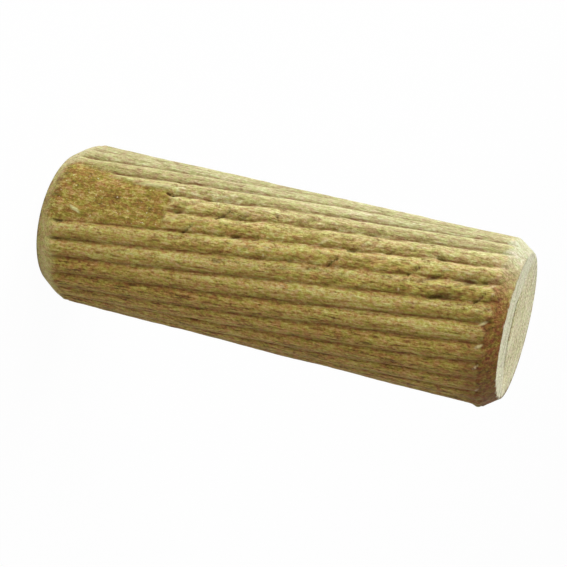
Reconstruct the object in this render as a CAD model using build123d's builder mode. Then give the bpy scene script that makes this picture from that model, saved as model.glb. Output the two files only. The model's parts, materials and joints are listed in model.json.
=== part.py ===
"""Fluted wooden dowel pin, nominally 10 mm by 30 mm, in millimetres.

One solid: a turned beech rod, sawn to length, chamfered at both ends and pressed with
left-hand spiral flutes. It stands on one sawn end, with its axis along +Z and its origin
at the centre of that lower end.
"""

from build123d import *
import math
import os

# Rod
LENGTH = 29.5
RADIUS = 5.1  # over the crests of the ridges, a moisture-swollen 10 mm rod

# End chamfers: height along the axis, and how far each one cuts in from the rod's side
LOWER_CHAMFER_HEIGHT = 1.23
LOWER_CHAMFER_DEPTH = 0.82
UPPER_CHAMFER_HEIGHT = 0.97
UPPER_CHAMFER_DEPTH = 0.69

# Flutes
FLUTE_COUNT = 26
FLUTE_DEPTH = 0.22
LOBE_RISE = 0.015  # how far a ridge's arc stands above the rod before its crest is cut to a land
TWIST_PER_MM = -1.5  # degrees; negative is a left-hand spiral about +Z
FIRST_GROOVE_ANGLE = -2.5  # degrees from +X, at the lower end

# Crushed flat near the lower end, where the ridges are gone
FLAT_HEIGHT = 8.1  # from the lower end up to the step where the ridges begin
FLAT_DISTANCE = 4.78  # from the axis to the flat
FLAT_DIRECTION = -110.0  # degrees from +X, the way that the flat faces
WORN_RIDGES = (17, 18, 19)  # these run up out of the flat, counted from the first groove
WORN_DROP = 0.003  # how far their rounded crests stay inside the rod, so they have no land


def polar(radius, angle):
    """The point at this radius and angle in degrees."""
    return (
        radius * math.cos(math.radians(angle)),
        radius * math.sin(math.radians(angle)),
    )


os.makedirs("parts", exist_ok=True)

# Cross-section of the ridges: convex arcs side by side, which meet in sharp grooves
pitch = 360 / FLUTE_COUNT
with BuildSketch() as ridge_section:
    with BuildLine():
        for ridge in range(FLUTE_COUNT):
            groove_angle = FIRST_GROOVE_ANGLE + ridge * pitch
            crest = -WORN_DROP if ridge in WORN_RIDGES else LOBE_RISE
            ThreePointArc(
                polar(RADIUS - FLUTE_DEPTH, groove_angle),
                polar(RADIUS + crest, groove_angle + pitch / 2),
                polar(RADIUS - FLUTE_DEPTH, groove_angle + pitch),
            )
    make_face()

# The builder has no twisted extrusion, so the ridges' spiral comes from the Solid class.
ridge_spiral = Solid.extrude_linear_with_rotation(
    ridge_section.sketch.face(),
    center=(0, 0, 0),
    normal=(0, 0, LENGTH),
    angle=TWIST_PER_MM * LENGTH,
)

with BuildPart() as dowel_pin:
    # Sawn and chamfered rod, turned about Z from half of its outline
    with BuildSketch(Plane.XZ):
        with BuildLine():
            Polyline(
                (0, 0),
                (RADIUS - LOWER_CHAMFER_DEPTH, 0),
                (RADIUS, LOWER_CHAMFER_HEIGHT),
                (RADIUS, LENGTH - UPPER_CHAMFER_HEIGHT),
                (RADIUS - UPPER_CHAMFER_DEPTH, LENGTH),
                (0, LENGTH),
                close=True,
            )
        make_face()
    revolve(axis=Axis.Z)

    # Flutes: what is left of the rod inside the spiral of ridges. A narrow strip of the
    # rod's own cylinder stays along each crest, and these strips are what grips a hole.
    add(ridge_spiral, mode=Mode.INTERSECT)

    # Crushed flat: everything beyond its plane goes, up to the step
    flat_normal = Vector(1, 0, 0).rotate(Axis.Z, FLAT_DIRECTION)
    flat_plane = Plane(
        origin=flat_normal * FLAT_DISTANCE, x_dir=(0, 0, 1), z_dir=flat_normal
    )
    with BuildSketch(flat_plane):
        Rectangle(FLAT_HEIGHT, 2 * RADIUS, align=(Align.MIN, Align.CENTER))
    extrude(amount=RADIUS, mode=Mode.SUBTRACT)

dowel_pin.part.label = "dowel_pin"
export_step(dowel_pin.part, "parts/dowel_pin.step")
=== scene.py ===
"""A fluted dowel pin of turned beech, standing on one sawn end.

The pin is one closed mesh worked out with numpy: a profile carried round the axis on a grid
that is sheared with the spiral of the flutes. Every length in its formulas is in millimetres,
and it is turned to metres as it goes into the mesh. A bearing is an angle in degrees round
the pin, 0 at the side that faces -Y and growing towards -X.
"""

import json
import math

import bpy
import numpy as np
from mathutils import Matrix, Vector


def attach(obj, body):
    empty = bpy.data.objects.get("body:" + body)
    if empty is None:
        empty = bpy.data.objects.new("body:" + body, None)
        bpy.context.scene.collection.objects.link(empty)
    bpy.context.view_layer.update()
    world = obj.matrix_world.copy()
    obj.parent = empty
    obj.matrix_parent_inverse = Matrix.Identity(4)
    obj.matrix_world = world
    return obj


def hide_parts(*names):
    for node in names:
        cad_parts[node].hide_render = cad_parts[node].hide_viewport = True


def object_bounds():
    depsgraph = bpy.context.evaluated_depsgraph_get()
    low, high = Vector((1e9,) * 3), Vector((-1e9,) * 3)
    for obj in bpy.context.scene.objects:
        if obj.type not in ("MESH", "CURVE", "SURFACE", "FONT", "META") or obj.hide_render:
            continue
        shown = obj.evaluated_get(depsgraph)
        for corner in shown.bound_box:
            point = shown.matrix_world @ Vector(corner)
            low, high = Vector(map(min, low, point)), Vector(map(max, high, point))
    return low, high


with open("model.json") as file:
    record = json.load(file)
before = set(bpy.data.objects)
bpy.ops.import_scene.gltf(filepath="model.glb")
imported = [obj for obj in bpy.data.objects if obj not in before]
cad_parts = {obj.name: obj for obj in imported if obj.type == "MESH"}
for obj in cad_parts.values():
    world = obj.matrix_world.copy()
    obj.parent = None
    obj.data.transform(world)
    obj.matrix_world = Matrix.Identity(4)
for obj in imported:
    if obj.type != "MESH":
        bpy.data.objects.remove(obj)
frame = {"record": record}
cad_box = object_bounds()

# ---------------------------------------------------------------- sizes, in millimetres

MM = 0.001
SHANK = next(m for m in frame["record"]["mounts"] if m["name"] == "fluted_shank")
RADIUS = SHANK["dims"]["r_mm"]
LENGTH = (cad_box[1][2] - cad_box[0][2]) / MM
LOWER_CHAMFER = (1.23, 0.82)  # height along the axis, depth into the side
UPPER_CHAMFER = (0.97, 0.69)
LOWER_ROUNDING = 0.3  # the reach of the rounding where a chamfer meets the side
UPPER_ROUNDING = 0.08
BODY_TOP = LENGTH - UPPER_CHAMFER[0]

FLUTES = 26
PITCH = 360 / FLUTES
TWIST = -1.5  # degrees for each millimetre of height, left-handed
FIRST_GROOVE = -2.5  # degrees from +X at the lower end
GROOVE_DEPTH = 0.25
GROOVE_START = (0.6, 2.2)  # the grooves deepen between these heights
CREST_INSET = 0.02  # the crests lie this far inside the rod

FLAT_TOP = 8.1
FLAT_DISTANCE = 4.78
FLAT_PROUD = 0.02  # how far the crushed fibres stand out of it
FLAT_LARGEST = 4.90  # the flat's sides rise no further from the axis than this
FLAT_BEARING = 20.0
FLAT_GROOVE = -6  # the flat ends along this groove, counted from the first one
FLAT_FAR_SIDE = (45, 38)  # the bearing where it fades out, low down and higher up

CRACK_Y = -1.2  # the ring crack in the upper face: how far out it lies, and its bow
CRACK_BOW = 0.12
CRACK_MIDDLE = 0.4
CRACK_WIDTH = 0.18
CRACK_DEPTH = 0.28
CRACK_ENDS = (2.5, 1.5)  # from its middle it fades out between these lengths

SPUR_BEARING = -84  # one broken ridge end that sticks out at the upper chamfer

COLUMNS_PER_FLUTE = 14
CROWDING = 0.07  # how far columns are drawn towards the grooves, as a share of the pitch
BODY_ROWS = 207
SEED = 26

# Stretches of bearing: where each one starts, is full, wanes and is gone
TORN_SIDE = (-10, 4, 42, 54)
TORN_FROM = (6.5, 8.5)  # the torn side sets in between these heights
# The side where the upper flank of each ridge gets a painted highlight
FLANK_HIGHLIGHT_SIDE = (-30, -5, 60, 75)
# The side turned from the lamps; there the colour is painted browner as painted shade
SHADED_SIDE = (-165, -120, -45, 5)
# The side where the upper chamfer is darker: rubbed wood and painted shade both
RUBBED_AND_SHADED_SIDE = (-175, -120, 4, 52)
# The side above, painted paler and greyer as a painted sheen
PAINTED_SHEEN_SIDE = (10, 70, 120, 175)

# Smooth noises: the size of a cell across, across and along the pin, and its own seed.
# Where one is used, the number before it is how far it swings what it is added to.
LUMPS = {
    "wander": ((0.9, 0.9, 2.2), 1),
    "depth": ((1.2, 1.2, 3.0), 2),
    "swell": ((0.8, 0.8, 4.0), 3),
    "fibres": ((0.16, 0.16, 1.8), 4),
    "pits": ((0.30, 0.40, 1.0), 5),
    "fuzz": ((0.22, 0.22, 0.3), 6),
    "patch_edge": ((0.5, 0.5, 0.5), 7),
    "crushed": ((0.45, 0.45, 1.2), 8),
    "luck": ((0.7, 0.7, 1), 9),
    "tongues": ((0.8, 0.8, 1), 10),
    "saw": ((1.6, 0.35, 1), 11),
    "ragged": ((0.16, 0.16, 0.16), 12),
    "chamfer": ((0.35, 0.35, 0.5), 13),
    "crack_depth": ((0.5, 0.5, 1), 14),
    "fray": ((0.5, 0.5, 0.7), 15),
    "flakes": ((0.35, 0.45, 0.8), 16),
    "tongue_tips": ((0.25, 0.25, 9.0), 17),
    "stray": ((1.0, 1.0, 2.5), 18),
    "crack_path": ((0.7, 0.7, 1), 19),
}

# Torn places: height, bearing, length along the flute, depth, and how steeply they cross it
NOTCH_WIDTH = 0.15
LIP_WIDTH = 0.14
LIP_ASIDE = 3.5  # degrees from a notch to the lip that stands beside it
# The hollows of the notches are darkened as painted shade, in proportion to their depth
DARK_DEPTH = 0.2  # a notch this deep is fully dark
NOTCHES = (
    (1.50, -3.0, 0.40, 0.16, 0.0),
    (1.45, -16.0, 0.50, 0.14, 0.0),
    (7.95, 36.0, 0.30, 0.26, -0.3),
    (8.9, 24.0, 0.40, 0.10, 0.2),
    (9.9, 13.0, 0.50, 0.15, 0.8),
    (11.6, 28.0, 0.55, 0.20, 0.9),
    (12.7, 14.0, 0.50, 0.13, 0.3),
    (12.9, 30.0, 0.30, 0.12, 0.6),
    (14.8, 37.0, 0.45, 0.15, -0.5),
    (12.2, -5.0, 0.55, 0.12, 0.0),
    (16.6, 8.0, 0.35, 0.10, 0.7),
    (19.1, 14.0, 0.45, 0.16, 1.0),
    (19.9, 24.0, 0.55, 0.15, 0.1),
    (20.8, 41.0, 0.60, 0.10, 0.2),
    (22.3, 6.0, 0.35, 0.13, 0.9),
    (23.8, 20.5, 0.45, 0.16, 0.9),
    (25.0, 34.0, 0.50, 0.13, -0.4),
    (25.4, 6.5, 0.50, 0.15, 0.4),
    (26.6, 17.0, 0.35, 0.12, 0.8),
    (27.8, 11.0, 0.55, 0.15, 0.9),
    (10.9, -57.0, 0.90, 0.15, 0.0),
    (23.7, -52.0, 0.70, 0.12, 0.0),
    (23.6, -47.0, 0.50, 0.10, 0.0),
    (5.8, -44.0, 0.80, 0.10, 0.0),
)
# Pale slivers that stand up from the surface, in the same terms
SLIVER_WIDTH = 0.12
SLIVERS = (
    (2.30, 8.5, 0.30, 0.05, -0.7),
    (2.60, 7.5, 0.30, 0.05, -0.7),
    (6.8, 39.5, 1.5, 0.05, 0.0),
    (14.9, 7.5, 0.12, 0.07, 4.0),
    (18.2, 26.0, 0.35, 0.06, 0.6),
    (23.2, 4.0, 0.12, 0.07, 4.0),
    (20.6, 31.0, 0.30, 0.05, 0.8),
    (28.4, -3.5, 0.26, 0.09, 0.5),
    (28.4, -19.0, 0.26, 0.09, 0.5),
    (28.4, 21.5, 0.22, 0.08, 0.6),
    (28.3, 34.0, 0.26, 0.08, 0.6),
    (28.4, -34.0, 0.18, 0.06, 0.9),
)

# ---------------------------------------------------------------- formulas


def smooth(low, high, x):
    """0 at low, 1 at high, the cubic 3t2 - 2t3 in between, and level beyond them."""
    t = np.clip((x - low) / (high - low), 0, 1)
    return t * t * (3 - 2 * t)


def within(stretch, x):
    """1 along a stretch, with a smooth rise where it starts and a smooth fall where it ends."""
    start, full, wane, gone = stretch
    return smooth(start, full, x) * smooth(gone, wane, x)


def bump(distance, reach):
    """A bell: 1 at distance 0, falling as exp(-(distance / reach) squared)."""
    return np.exp(-((distance / reach) ** 2))


def soft_least(a, b, reach):
    """The smaller of two lengths, with the corner between them rounded over this reach."""
    near = np.clip(1 - np.abs(a - b) / reach, 0, 1)
    return np.minimum(a, b) - reach / 4 * near**2


def lumps(points, name):
    """Smooth value noise from -1 to 1, with the cell and seed that LUMPS gives this name.

    Each point is divided by the size of a cell, its eight corners take random values from a
    table that repeats every 32 cells, and the cubic of smooth() blends them along each side.
    """
    cell, seed = LUMPS[name]
    table = np.random.default_rng(SEED + seed).uniform(-1, 1, (32, 32, 32))
    scaled = points / np.asarray(cell)
    corner = np.floor(scaled).astype(int)
    blend = smooth(0, 1, scaled - corner)
    value = 0
    for step in np.ndindex(2, 2, 2):
        share = np.prod(np.where(step, blend, 1 - blend), axis=-1)
        x, y, z = np.moveaxis((corner + step) % 32, -1, 0)
        value = value + share * table[x, y, z]
    return value


def spot(z, bearing, height, at, length, width, slope):
    """A long bell at this height and bearing, that crosses its flute at this slope."""
    along = z - height
    across = RADIUS * np.radians(bearing - at + TWIST * along) - slope * along
    return bump(along, length) * bump(across, width)


# ---------------------------------------------------------------- shape of the pin


def dowel_rows():
    """The pin's outline as rows, from the middle of the lower face to that of the upper one.

    Each row has a height and the largest radius that the ends and chamfers allow there.
    Rows crowd together on the chamfers and round the crack in the upper face.
    """
    lower_face = np.linspace(0.1, 1, 9)
    inside, round_crack, outside = (0.03, 0.21, 4), (0.25, 0.61, 20), (0.65, 1, 10)
    upper_face = np.concatenate([np.linspace(*part) for part in (inside, round_crack, outside)])
    inner = [RADIUS - chamfer[1] for chamfer in (LOWER_CHAMFER, UPPER_CHAMFER)]
    bevel = np.linspace(0, 1, 13)[1:]
    height = np.concatenate(
        [
            np.zeros(lower_face.size),
            bevel * LOWER_CHAMFER[0],
            np.linspace(LOWER_CHAMFER[0], BODY_TOP, BODY_ROWS)[1:-1],
            LENGTH - bevel[::-1] * UPPER_CHAMFER[0],
            np.full(upper_face.size, LENGTH),
        ]
    )
    no_limit = RADIUS + 1
    limit = np.concatenate(
        [
            lower_face * inner[0],
            inner[0] + bevel * LOWER_CHAMFER[1],
            np.full(BODY_ROWS - 2, no_limit),
            inner[1] + bevel[::-1] * UPPER_CHAMFER[1],
            upper_face[::-1] * inner[1],
        ]
    )
    return height, limit


def dowel_grid():
    """Height, turn angle, flute count and radius limit at every grid point, rows by columns.

    The columns stand closer together near the grooves, by a sine taken from an even spacing,
    and each row is turned by the twist, so a column follows its flute. The flute count goes
    up by 1 from one groove to the next.
    """
    height, limit = dowel_rows()
    even = np.arange(FLUTES * COLUMNS_PER_FLUTE) / COLUMNS_PER_FLUTE
    crowded = even - CROWDING * np.sin(2 * np.pi * even)
    flute = np.broadcast_to(crowded, (height.size, even.size))
    z = np.broadcast_to(height[:, None], flute.shape)
    angle = FIRST_GROOVE + PITCH * flute + TWIST * z
    return z, np.radians(angle), flute, np.broadcast_to(limit[:, None], flute.shape)


def bearing_of(angle):
    """Bearing in degrees, from -180 to 180, of an angle in radians from +X."""
    return (-90 - np.degrees(angle) + 180) % 360 - 180


def on_rod(angle, z):
    """The points of a plain rod at these angles and heights."""
    return np.stack([RADIUS * np.cos(angle), RADIUS * np.sin(angle), z], axis=-1)


def fluted(flute, z, straight, shaded):
    """Radius of the fluted rod, nearness to a crest, and nearness to the bottom of a groove.

    Nearness to a crest falls evenly from 1 on it to 0 in the grooves beside it. What is left
    of it to 1, squared, is the share of the groove's depth that is cut away.
    """
    crest = 1 - np.abs(2 * (flute % 1) - 1)
    groove = (1 - crest) ** 2
    depth = GROOVE_DEPTH * (1 + 0.35 * lumps(straight, "depth") - 0.3 * shaded)
    depth = depth * smooth(*GROOVE_START, z)
    radius = RADIUS - CREST_INSET - depth * groove
    radius += 0.03 * lumps(straight, "swell") * crest
    return radius, crest, groove


def roughened(radius, torn, fuzz, round_rod, leaning):
    """The radius with fibre relief and the torn side's fuzz, flakes and pits, and those pits."""
    pits = np.maximum(0, lumps(leaning, "pits") - 0.24)
    radius = radius + 0.012 * lumps(round_rod, "fibres")
    radius += torn * (0.03 * fuzz - 0.2 * pits)
    radius += (0.015 + 0.045 * torn) * lumps(leaning, "flakes")
    return radius, pits


def crushed_flat(radius, flute, z, bearing, edge, fuzz, leaning):
    """The radius with the crushed flat let into it, and where the flat lies, from 0 to 1.

    A plane at distance d from the axis has radius d over the cosine of the bearing from its
    middle. The flat stops at a step above, along a groove on one side, and fades out on the
    other.
    """
    from_first = flute - FLUTES * (flute > FLUTES / 2)
    low_side, high_side = FLAT_FAR_SIDE
    far_side = low_side - (low_side - high_side) * smooth(2.5, 5.0, z)
    flat = smooth(FLAT_TOP + 0.15, FLAT_TOP - 0.12, z + 1.5 * edge)
    flat = flat * smooth(FLAT_GROOVE + 0.02, FLAT_GROOVE - 0.13, from_first)
    flat = flat * smooth(far_side + 3, far_side - 3, bearing + 12 * edge)
    plane = FLAT_DISTANCE / np.cos(np.radians(np.clip(bearing - FLAT_BEARING, -40, 40)))
    crushed = np.minimum(plane + FLAT_PROUD, FLAT_LARGEST) + 0.03 * fuzz
    crushed += 0.04 * lumps(leaning, "crushed")
    return radius * (1 - flat) + np.minimum(crushed, radius + 0.2) * flat, flat


def torn_out(radius, dark, z, bearing, straight):
    """The radius with the NOTCHES torn out of it, and the dark with the painted shade of their
    hollows added.

    Each hollow is a spot with a ragged edge, and a low lip stands beside it.
    """
    ragged = 1 + 0.7 * lumps(straight, "ragged")
    for height, at, length, deep, slope in NOTCHES:
        hollow = spot(z, bearing, height, at, length, NOTCH_WIDTH, slope)
        hollow = smooth(0.3, 0.85, hollow * ragged)
        lip = spot(z, bearing, height, at - LIP_ASIDE, 0.8 * length, LIP_WIDTH, slope)
        radius = radius + (0.35 * deep * lip - deep * hollow)
        # painted shade: a deeper hollow is darker
        dark = np.maximum(dark, hollow * deep / DARK_DEPTH)
    return radius, dark


def with_slivers(radius, z, bearing):
    """The radius with the SLIVERS raised on it, and where they lie, from 0 to 1."""
    pale = 0
    for height, at, length, proud, slope in SLIVERS:
        sliver = spot(z, bearing, height, at, length, SLIVER_WIDTH, slope)
        radius = radius + proud * sliver
        pale = np.maximum(pale, sliver)
    return radius, pale


def ridge_ends(flute, crest, z, bearing, straight):
    """How the ridges run out over the upper chamfer.

    A tongue is how far up a ridge reaches there: most on its crest, and uneven. A burr sits
    on the tip of some tongues, towards one side. The spur is one broken tip that sticks out.
    """
    around = straight * (1, 1, 0)
    luck = np.clip(0.5 + lumps(around, "luck"), 0, 1)
    tongue = 0.40 * (crest - 0.75) + 0.2 * lumps(around, "tongues")
    tongue += 0.08 * lumps(straight, "tongue_tips")
    burr = bump(z - BODY_TOP - tongue, 0.11) * bump(flute % 1 - 0.66, 0.17) * luck
    spur = bump(z - BODY_TOP + 0.1, 0.25) * bump(bearing - SPUR_BEARING, 2.5)
    return tongue, burr, spur


def held_under(limit, radius, z, straight, burr, pale, spur):
    """The radius held under the cones of the chamfers, which burrs, slivers and spur lift."""
    limit = limit + 0.12 * np.maximum(burr, pale)
    limit = limit + 0.04 * lumps(straight, "chamfer") * (z > 2) * (z < LENGTH - 0.1)
    radius = radius + 0.05 * burr + 0.16 * spur
    limit = limit + 0.2 * spur
    rounding = np.where(z < LENGTH / 2, LOWER_ROUNDING, UPPER_ROUNDING)
    return soft_least(radius, limit, rounding)


def sawn_faces(radius, angle, z, fuzz):
    """Grid points, with the upper face cut uneven and cracked, and the marks of both faces.

    The crack follows a parabola, y equal to CRACK_Y plus CRACK_BOW times x squared, and
    wanders a little from it. Across it the depth is a bell, and it fades at both ends. The
    rim is the face beyond the crack, and faintly the edge all round.
    """
    x, y = radius * np.cos(angle), radius * np.sin(angle)
    upper = z > LENGTH - 0.01
    inset = radius / (RADIUS - np.where(upper, UPPER_CHAMFER[1], LOWER_CHAMFER[1]))
    on_face = (upper | (z < 0.01)) & (inset < 1.02)
    level = np.stack([x, y, 0 * z], axis=-1)
    inward = y - CRACK_Y - CRACK_BOW * x**2 + 0.09 * lumps(level, "crack_path")
    crack = bump(inward, CRACK_WIDTH) * smooth(*CRACK_ENDS, np.abs(x - CRACK_MIDDLE))
    crack = crack * (0.9 + 0.4 * lumps(level, "crack_depth")) * upper
    dish = 0.05 * smooth(0.9, 0.7, inset) + 0.025 * (1 + lumps(level, "saw"))
    sunk = dish * smooth(1.0, 0.93, inset) + CRACK_DEPTH * crack
    points = np.stack([x, y, z - np.where(on_face & upper, sunk, 0)], axis=-1)
    marks = {
        "sawn": smooth(1.0, 0.95, inset + 0.06 * fuzz) * on_face,
        "rim": np.maximum(0.4 * smooth(0.78, 0.88, inset), smooth(0, -0.3, inward)) * upper,
        "crack": crack,
    }
    return points, marks


def dowel_surface():
    """Grid points of the whole pin in millimetres, the straight points, and their marks.

    The radius is the rod's, less a power of the distance from the nearest crest for the
    grooves, with fibre relief added, the flat let in, the torn places cut and the slivers
    raised. It is then held under the cones of the chamfers. A mark is a number from 0 to 1
    that tells the material what lies at a point. The straight points are the rod's with its
    twist taken out, so patterns drawn on them follow the flutes. The leaning ones are those
    sheared along X, so that flakes and pits drawn on them slant across the flutes.
    """
    z, angle, flute, limit = dowel_grid()
    bearing = bearing_of(angle)
    round_rod = on_rod(angle, z)
    straight = on_rod(angle - np.radians(TWIST * z), z)
    leaning = straight + np.stack([0.5 * z, 0 * z, 0 * z], axis=-1)
    fuzz = lumps(straight, "fuzz")
    edge = 0.12 * lumps(straight, "patch_edge")
    stray = bearing + 6 * lumps(straight, "stray")
    torn = within(TORN_SIDE, stray) * smooth(*TORN_FROM, z)
    shaded = within(SHADED_SIDE, bearing)

    wander = 0.022 * lumps(straight, "wander") + (0.015 + 0.05 * torn) * lumps(straight, "fray")
    flute = flute + wander
    radius, crest, groove = fluted(flute, z, straight, shaded)
    radius, pits = roughened(radius, torn, fuzz, round_rod, leaning)
    radius, flat = crushed_flat(radius, flute, z, bearing, edge, fuzz, leaning)
    # painted shade in the pits of the torn side, less on the crests
    dark = 1.3 * torn * pits * (1 - 0.5 * crest) * (1 - flat)
    radius, dark = torn_out(radius, dark, z, bearing, straight)
    radius, pale = with_slivers(radius, z, bearing)
    tongue, burr, spur = ridge_ends(flute, crest, z, bearing, straight)
    radius = held_under(limit, radius, z, straight, burr, pale, spur)
    points, face_marks = sawn_faces(radius, angle, z, fuzz)

    z = points[..., 2]
    # painted highlight on the upper flank of each ridge
    flank_highlight = bump(flute % 1 - 0.30, 0.20) * within(FLANK_HIGHLIGHT_SIDE, bearing)
    marks = {
        "groove": groove * (1 - flat),
        # painted shade of the pits and hollows
        "dark": np.clip(dark, 0, 1),
        "torn": torn * (1 - flat),
        "flank_highlight": flank_highlight * (1 - flat),
        "flat": flat,
        "lip": np.clip(burr + spur + pale, 0, 1),
        "upper_chamfer": smooth(-0.10, 0.12, z - BODY_TOP - tongue),
        # the fresh cut reaches less far up where the flat runs into it
        "lower_chamfer": smooth(1.8 - 0.9 * flat, 0.9 - 0.5 * flat, z + 2 * edge),
        # the side turned from the lamps, where the colour takes painted shade
        "shaded": shaded,
        # rubbed wood and painted shade both: the upper chamfer is darker on this side
        "rubbed_and_shaded": within(RUBBED_AND_SHADED_SIDE, bearing),
        # darker near the upper end on the shaded side: rubbed wood and painted shade both
        "rubbed_and_shaded_end": shaded * smooth(LENGTH - 2.8, LENGTH - 0.9, z),
        # painted sheen: paler and greyer on the side above
        "painted_sheen": within(PAINTED_SHEEN_SIDE, bearing),
    }
    return points, straight, marks | face_marks


def closed_mesh(name, points, straight, marks):
    """A mesh from grid points: quads between rows, and a fan to a middle point at each end."""
    rows, columns = points.shape[:2]
    middle = [points[0].mean(axis=0), points[-1].mean(axis=0)]
    vertices = np.concatenate([points.reshape(-1, 3), middle])
    index = np.arange(rows * columns).reshape(rows, columns)
    right = np.roll(index, -1, axis=1)
    quads = np.stack([index[:-1], right[:-1], right[1:], index[1:]], axis=-1)
    first, last = rows * columns, rows * columns + 1
    lower = np.stack([right[0], index[0], np.full(columns, first)], axis=-1)
    upper = np.stack([index[-1], right[-1], np.full(columns, last)], axis=-1)
    mesh = bpy.data.meshes.new(name)
    faces = quads.reshape(-1, 4).tolist() + lower.tolist() + upper.tolist()
    mesh.from_pydata((vertices * MM).tolist(), [], faces)
    for mark, values in marks.items():
        layer = mesh.attributes.new(mark, "FLOAT", "POINT")
        ends = [values[0].mean(), values[-1].mean()]
        layer.data.foreach_set("value", np.concatenate([values.ravel(), ends]))
    layer = mesh.attributes.new("straight", "FLOAT_VECTOR", "POINT")
    ends = [straight[0].mean(axis=0), straight[-1].mean(axis=0)]
    unwound = np.concatenate([straight.reshape(-1, 3), ends]) * MM
    layer.data.foreach_set("vector", unwound.ravel())
    mesh.shade_smooth()
    mesh.validate()
    return mesh


# ---------------------------------------------------------------- materials


def linear(code):
    """The linear colour, with alpha 1, of an sRGB hex value."""
    parts = [int(code[i : i + 2], 16) / 255 for i in (1, 3, 5)]
    return [c / 12.92 if c <= 0.04045 else ((c + 0.055) / 1.055) ** 2.4 for c in parts] + [1]


def add(tree, kind, inputs=(), **settings):
    """Adds a node, sets its properties, and fills its inputs with values or links."""
    node = tree.nodes.new("ShaderNode" + kind)
    for name, value in settings.items():
        setattr(node, name, value)
    for key, value in dict(inputs).items():
        if isinstance(value, bpy.types.NodeSocket):
            tree.links.new(value, node.inputs[key])
        else:
            node.inputs[key].default_value = value
    return node


def new_material(name):
    """A material with an empty node tree but for its output."""
    material = bpy.data.materials.new(name)
    material.use_nodes = True
    tree = material.node_tree
    tree.nodes.clear()
    return material, tree, add(tree, "OutputMaterial")


# The Mix node's colour sockets, by number because its other sockets share their names
COLOUR_A, COLOUR_B, COLOUR_OUT = 6, 7, 2


class Palette:
    """The few ways in which one tree's patterns and colours are put together."""

    def __init__(self, tree):
        self.tree = tree

    def noise(self, source, size, detail, roughness):
        """A noise with blobs of about this size in millimetres along X, Y and Z."""
        scale = [1 / (side * MM) for side in size]
        vector = add(self.tree, "Mapping", {"Vector": source, "Scale": scale}).outputs["Vector"]
        values = {"Vector": vector, "Scale": 1.0, "Detail": detail, "Roughness": roughness}
        return add(self.tree, "TexNoise", values).outputs["Fac"]

    def ramp(self, value, low, high, out_low=0.0, out_high=1.0):
        """A smooth step from out_low, at value low, to out_high, at value high."""
        ends = {"From Min": low, "From Max": high, "To Min": out_low, "To Max": out_high}
        values = {"Value": value, **ends}
        return add(self.tree, "MapRange", values, interpolation_type="SMOOTHSTEP").outputs["Result"]

    def between(self, mark, low, high):
        """An even change from low, where the mark is 0, to high, where it is 1."""
        values = {"Value": mark, "To Min": low, "To Max": high}
        return add(self.tree, "MapRange", values).outputs["Result"]

    def times(self, a, b):
        """The product of two values."""
        return add(self.tree, "Math", {0: a, 1: b}, operation="MULTIPLY").outputs["Value"]

    def swing(self, tone, pattern, weight):
        """Moves a tone up and down by a pattern about its middle value, one half."""
        off = add(self.tree, "Math", {0: pattern, 1: 0.5}, operation="SUBTRACT").outputs["Value"]
        moved = add(self.tree, "Math", {0: off, 1: weight, 2: tone}, operation="MULTIPLY_ADD")
        return moved.outputs["Value"]

    def mixed(self, amount, a, b):
        """Colour a where the amount is 0, and colour b where it is 1."""
        values = {"Factor": amount, COLOUR_A: a, COLOUR_B: b}
        return add(self.tree, "Mix", values, data_type="RGBA").outputs[COLOUR_OUT]

    def toned(self, tone, dark, plain, pale):
        """Three colours in order: dark at tone 0, plain at one half, pale at 1."""
        lower = self.mixed(self.between(tone, 0.0, 2.0), linear(dark), linear(plain))
        upper = add(self.tree, "MapRange", {"Value": tone, "From Min": 0.5, "From Max": 1.0})
        return self.mixed(upper.outputs["Result"], lower, linear(pale))


# Beech's patterns: size in millimetres across, across and along the pin, detail, roughness.
# Real fibres are about 0.02 mm thick and pores 0.06 mm, too fine to show. So fibres, threads,
# grain and specks are drawn at 0.11 to 0.14 mm, as coarse as they need to be to show.
FIBRES = ((0.11, 0.11, 1.0), 4.0, 0.7)
BANDS = ((0.9, 0.9, 12.0), 2.0, 0.5)
THREADS = ((0.13, 0.13, 1.2), 3.0, 0.7)
GRAIN = ((0.14, 0.14, 0.22), 3.0, 0.75)
WOOL = ((0.20, 0.20, 0.7), 3.0, 0.65)
BLOTCHES = ((0.6, 0.6, 0.9), 2.0, 0.6)
HUES = ((0.24, 0.24, 0.4), 2.0, 0.6)
RAY_FLECKS = ((0.12, 0.12, 0.7), 1.0, 0.5)
SPECKS = ((0.12, 0.12, 0.16), 1.0, 0.5)
RING_LINES = ((3.0, 0.22, 3.0), 3.0, 0.6)


def pressed_side(paint, marks, fibres, bands, threads, grain, wool, flecks):
    """The fluted side: straw, painted browner on the shaded side as painted shade, painted paler
    and greyer above as a painted sheen, with threads and flecks.
    """
    tone = paint.swing(0.5, fibres, 1.0)
    tone = paint.swing(tone, bands, 0.5)
    tone = paint.swing(tone, grain, paint.between(marks["torn"], 1.0, 1.3))
    tone = paint.swing(tone, wool, paint.between(marks["torn"], 0.3, 1.3))
    tone = paint.swing(tone, threads, paint.between(marks["shaded"], 0.6, 1.7))
    tone = paint.swing(tone, grain, paint.between(marks["shaded"], 0.0, 1.0))
    straw = paint.toned(tone, "#6b4d18", "#ae9545", "#d8cb88")
    brown = paint.toned(tone, "#5f4212", "#ad8b3c", "#ceb268")
    pale = paint.toned(tone, "#6a5c30", "#a8a070", "#d8d8b4")
    # painted shade: browner on the side turned from the lamps
    wood = paint.mixed(marks["shaded"], straw, brown)
    # painted sheen: paler and greyer on the side above
    wood = paint.mixed(marks["painted_sheen"], wood, pale)
    lines = paint.ramp(threads, 0.44, 0.32)
    streaks = paint.times(lines, paint.between(marks["shaded"], 0.3, 0.8))
    wood = paint.mixed(streaks, wood, linear("#5f4219"))
    return paint.mixed(paint.times(flecks, 0.6), wood, linear("#5f4118"))


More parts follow.
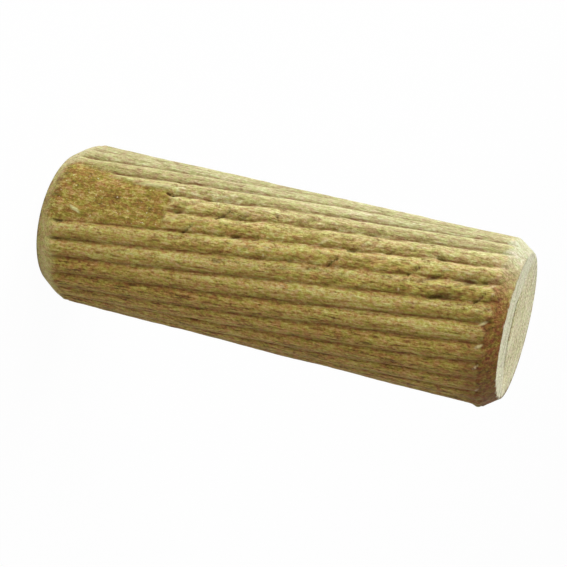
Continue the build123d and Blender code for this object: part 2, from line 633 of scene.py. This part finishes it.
def crushed_wood(paint, grain, wool, blotches, specks):
    """The flat: grainy brown, with reddish blotches and a few pale specks."""
    tone = paint.swing(0.5, grain, 1.6)
    tone = paint.swing(tone, wool, 0.9)
    tone = paint.swing(tone, blotches, 1.0)
    crushed = paint.toned(tone, "#583e12", "#90772c", "#cbba72")
    reddish = paint.ramp(blotches, 0.5, 0.75, 0.0, 0.4)
    crushed = paint.mixed(reddish, crushed, linear("#8a5a24"))
    return paint.mixed(paint.times(specks, 0.7), crushed, linear("#e0dab4"))


def painted_shade_and_highlights(paint, marks, wood, grain, wool):
    """Painted highlights on the ridges' upper flanks, painted shade in the grooves and pits, and a
    darker upper end on the shaded side, rubbed and painted shade both, over the wood.
    """
    # painted highlight on the upper flanks of the ridges
    flank_highlight = paint.times(marks["flank_highlight"], paint.ramp(grain, 0.35, 0.65, 0.0, 0.4))
    wood = paint.mixed(flank_highlight, wood, linear("#cfc990"))
    # painted shade in the grooves
    groove_shade = paint.times(
        paint.ramp(marks["groove"], 0.35, 1.0),
        paint.ramp(wool, 0.30, 0.65, 0.8, 0.35),
    )
    wood = paint.mixed(groove_shade, wood, linear("#653f14"))
    # darker upper end on the shaded side: rubbed wood and painted shade both
    wood = paint.mixed(paint.times(marks["rubbed_and_shaded_end"], 0.6), wood, linear("#7c5526"))
    # painted shade: darkest brown in the pits and torn hollows
    return paint.mixed(paint.ramp(marks["dark"], 0.2, 0.9, 0.0, 0.7), wood, linear("#43290c"))


def chamfered(paint, marks, wood, grain, blotches):
    """Both chamfers, over the wood: the upper one dark reddish brown on the side turned from the
    lamps, rubbed wood and painted shade both, and paler above, a painted sheen; the lower one
    fresh, painted paler still on its shaded side as painted light.

    The burrs and slivers are the palest, and lie over both.
    """
    tone = paint.swing(0.5, grain, 2.2)
    tone = paint.swing(tone, blotches, 0.8)
    cut = paint.toned(tone, "#75642f", "#a49350", "#cbbf84")
    # painted sheen: the chamfers paler and greyer on the side above
    painted_sheen = paint.toned(tone, "#8d8762", "#b6b593", "#dadac4")
    cut = paint.mixed(marks["painted_sheen"], cut, painted_sheen)
    wood = paint.mixed(paint.times(marks["upper_chamfer"], 0.85), wood, cut)
    # dark reddish brown on the side turned from the lamps: rubbed wood and painted shade both
    rubbed = paint.toned(tone, "#4b2b0a", "#80561e", "#a88240")
    rubbed_and_shaded_share = paint.times(paint.times(marks["upper_chamfer"], marks["rubbed_and_shaded"]), 0.95)
    wood = paint.mixed(rubbed_and_shaded_share, wood, rubbed)
    wood = paint.mixed(paint.times(marks["lower_chamfer"], 0.6), wood, cut)
    # painted light: the fresh cut paler still on the shaded side, as if lit there
    fresh = paint.toned(tone, "#9c8748", "#d4c07a", "#e4d8a0")
    fresh_and_painted_light = paint.times(marks["lower_chamfer"], paint.between(marks["shaded"], 0.3, 0.95))
    wood = paint.mixed(fresh_and_painted_light, wood, fresh)
    return paint.mixed(paint.ramp(marks["lip"], 0.2, 0.9, 0.0, 0.7), wood, linear("#d8cd98"))


def end_grain(paint, marks, rings, grain):
    """The sawn faces: pale, finely lined along the rings, paler at the rim, with the crack darkened
    as painted shade.
    """
    tone = paint.swing(paint.swing(0.5, rings, 1.8), grain, 3.0)
    end = paint.toned(tone, "#9c9060", "#d9d1a0", "#f2edcf")
    edge = paint.toned(tone, "#b0a982", "#dfdcb8", "#f5f2da")
    end = paint.mixed(paint.times(marks["rim"], 0.9), end, edge)
    # painted shade: the crack is darkened to deep brown
    return paint.mixed(paint.ramp(marks["crack"], 0.12, 0.5, 0.0, 0.92), end, linear("#453416"))


def turned_beech(mark_names):
    """Bare beech, turned, pressed and sawn, then crushed, torn and rubbed with use.

    Straw-coloured fibres run along the axis, with short brown ray flecks between them. The marks of
    the mesh say where the wood is shaded, crushed, torn, rubbed or sawn, and each of these has
    colours of its own. Some colours are painted light and shade: painted shade on the shaded side,
    in the grooves, pits, hollows and crack, and in part on the rubbed upper end and chamfer; a
    painted sheen on the upper side and painted highlights on the ridges' upper flanks; and painted
    light on the shaded side of the lower chamfer. Last, the hue of it all swings a little between
    olive and red.
    """
    material, tree, output = new_material("turned_beech")
    paint = Palette(tree)
    place = add(tree, "TexCoord").outputs["Object"]
    unwound = add(tree, "Attribute", attribute_name="straight").outputs["Vector"]
    marks = {
        name: add(tree, "Attribute", attribute_name=name).outputs["Fac"] for name in mark_names
    }
    fibres = paint.noise(place, *FIBRES)
    bands = paint.noise(place, *BANDS)
    threads = paint.noise(unwound, *THREADS)
    grain = paint.noise(place, *GRAIN)
    wool = paint.noise(unwound, *WOOL)
    blotches = paint.noise(place, *BLOTCHES)
    hues = paint.noise(place, *HUES)
    rings = paint.noise(place, *RING_LINES)
    flecks = paint.ramp(paint.noise(place, *RAY_FLECKS), 0.64, 0.74)
    specks = paint.ramp(paint.noise(place, *SPECKS), 0.68, 0.80)

    wood = pressed_side(paint, marks, fibres, bands, threads, grain, wool, flecks)
    crushed = crushed_wood(paint, grain, wool, blotches, specks)
    wood = paint.mixed(marks["flat"], wood, crushed)
    wood = painted_shade_and_highlights(paint, marks, wood, grain, wool)
    wood = chamfered(paint, marks, wood, grain, blotches)
    wood = paint.mixed(marks["sawn"], wood, end_grain(paint, marks, rings, grain))
    turn = paint.ramp(hues, 0.3, 0.7, 0.47, 0.53)
    wood = add(tree, "HueSaturation", {"Hue": turn, "Color": wood}).outputs["Color"]

    height = paint.swing(fibres, grain, 1.0)
    relief = add(tree, "Bump", {"Strength": 0.9, "Distance": 0.09 * MM, "Height": height})
    beech = add(
        tree,
        "BsdfPrincipled",
        {
            "Base Color": wood,
            "Roughness": 0.7,
            "Specular IOR Level": 0.2,
            "IOR": 1.5,
            "Sheen Weight": 0.06,
            "Sheen Roughness": 0.5,
            "Normal": relief.outputs["Normal"],
        },
    )
    tree.links.new(beech.outputs["BSDF"], output.inputs["Surface"])
    return material


def seen(tree):
    """1 for what the eye sees, directly, in a mirror or through glass, and 0 for other light."""
    path = add(tree, "LightPath").outputs
    value = path["Is Camera Ray"]
    for ray in ("Is Glossy Ray", "Is Transmission Ray"):
        value = add(tree, "Math", {0: value, 1: path[ray]}, operation="MAXIMUM").outputs["Value"]
    return value


def matt_board():
    """Matt white card: to the eye it is nearly plain white, and keeps a faint soft shadow."""
    plain_share = 0.97
    material, tree, output = new_material("matt_white_card")
    values = {0: seen(tree), 1: plain_share}
    share = add(tree, "Math", values, operation="MULTIPLY").outputs["Value"]
    card = add(tree, "BsdfDiffuse", {"Color": linear("#ececec")}).outputs["BSDF"]
    white = add(tree, "Emission", {"Color": (1, 1, 1, 1), "Strength": 1.0}).outputs["Emission"]
    both = add(tree, "MixShader", {0: share, 1: card, 2: white})
    tree.links.new(both.outputs["Shader"], output.inputs["Surface"])
    return material


# ---------------------------------------------------------------- the pin

points, straight, marks = dowel_surface()
pin = bpy.data.objects.new("fluted_pin", closed_mesh("fluted_pin", points, straight, marks))
bpy.context.scene.collection.objects.link(pin)
pin.data.materials.append(turned_beech(marks))
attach(pin, "root")
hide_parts("dowel_pin")

# ---------------------------------------------------------------- floor, light and camera

middle = Vector((0, 0, LENGTH / 2)) * MM
FLOOR_HALF = 1.5  # metres
KEY, FRONT = 0.80, 0.94  # the lamps, in watts
SKY = 0.40  # the strength of the even light from all round

board = bpy.data.meshes.new("floor")
corners = [(x * FLOOR_HALF, y * FLOOR_HALF, 0) for x, y in ((-1, -1), (1, -1), (1, 1), (-1, 1))]
board.from_pydata(corners, [], [(0, 1, 2, 3)])
floor = bpy.data.objects.new("floor", board)
bpy.context.scene.collection.objects.link(floor)
board.materials.append(matt_board())


def soft_box(name, direction, distance, width, power):
    """A square area lamp that faces the middle of the pin from this direction.

    The distance and width are in metres, and the power in watts.
    """
    lamp = bpy.data.lights.new(name, "AREA")
    lamp.size = width
    lamp.energy = power
    holder = bpy.data.objects.new(name, lamp)
    holder.location = middle + Vector(direction).normalized() * distance
    holder.rotation_euler = (middle - holder.location).to_track_quat("-Z", "Y").to_euler()
    bpy.context.scene.collection.objects.link(holder)


soft_box("key", (-0.93, 0.26, 0.35), 0.30, 0.14, KEY)
soft_box("front", (-0.87, -0.5, 0.4), 0.35, 0.22, FRONT)

# The world looks plain white, and lights the pin with less than that
world = bpy.data.worlds.new("studio")
bpy.context.scene.world = world
world.use_nodes = True
tree = world.node_tree
tree.nodes.clear()
strength = add(tree, "MapRange", {"Value": seen(tree), "To Min": SKY, "To Max": 1.0})
backdrop = add(
    tree,
    "Background",
    {"Color": (1, 1, 1, 1), "Strength": strength.outputs["Result"]},
)
add(tree, "OutputWorld", {"Surface": backdrop.outputs["Background"]})

# The camera stands to the -Y side, a little above, and is rolled so the pin lies on its side
ELEVATION = math.radians(17.16)
HEADING = math.radians(0.47)
ROLL = math.radians(103.6)
DISTANCE = 19.5 * RADIUS * MM
aim = middle + Vector((0.154, -0.045, 0.055)) * RADIUS * MM

forward = Vector(
    (
        math.sin(HEADING) * math.cos(ELEVATION),
        math.cos(HEADING) * math.cos(ELEVATION),
        -math.sin(ELEVATION),
    )
)
level_right = forward.cross(Vector((0, 0, 1))).normalized()
level_up = level_right.cross(forward)
right = math.cos(ROLL) * level_right + math.sin(ROLL) * level_up
up = math.cos(ROLL) * level_up - math.sin(ROLL) * level_right
lens = bpy.data.cameras.new("camera")
lens.lens = 103.26
lens.sensor_width = 36
lens.clip_start = 0.005
camera = bpy.data.objects.new("camera", lens)
turn = Matrix((right, up, -forward)).transposed().to_4x4()
camera.matrix_world = Matrix.Translation(aim - DISTANCE * forward) @ turn
bpy.context.scene.collection.objects.link(camera)
bpy.context.scene.camera = camera
bpy.context.scene.view_settings.view_transform = "Standard"
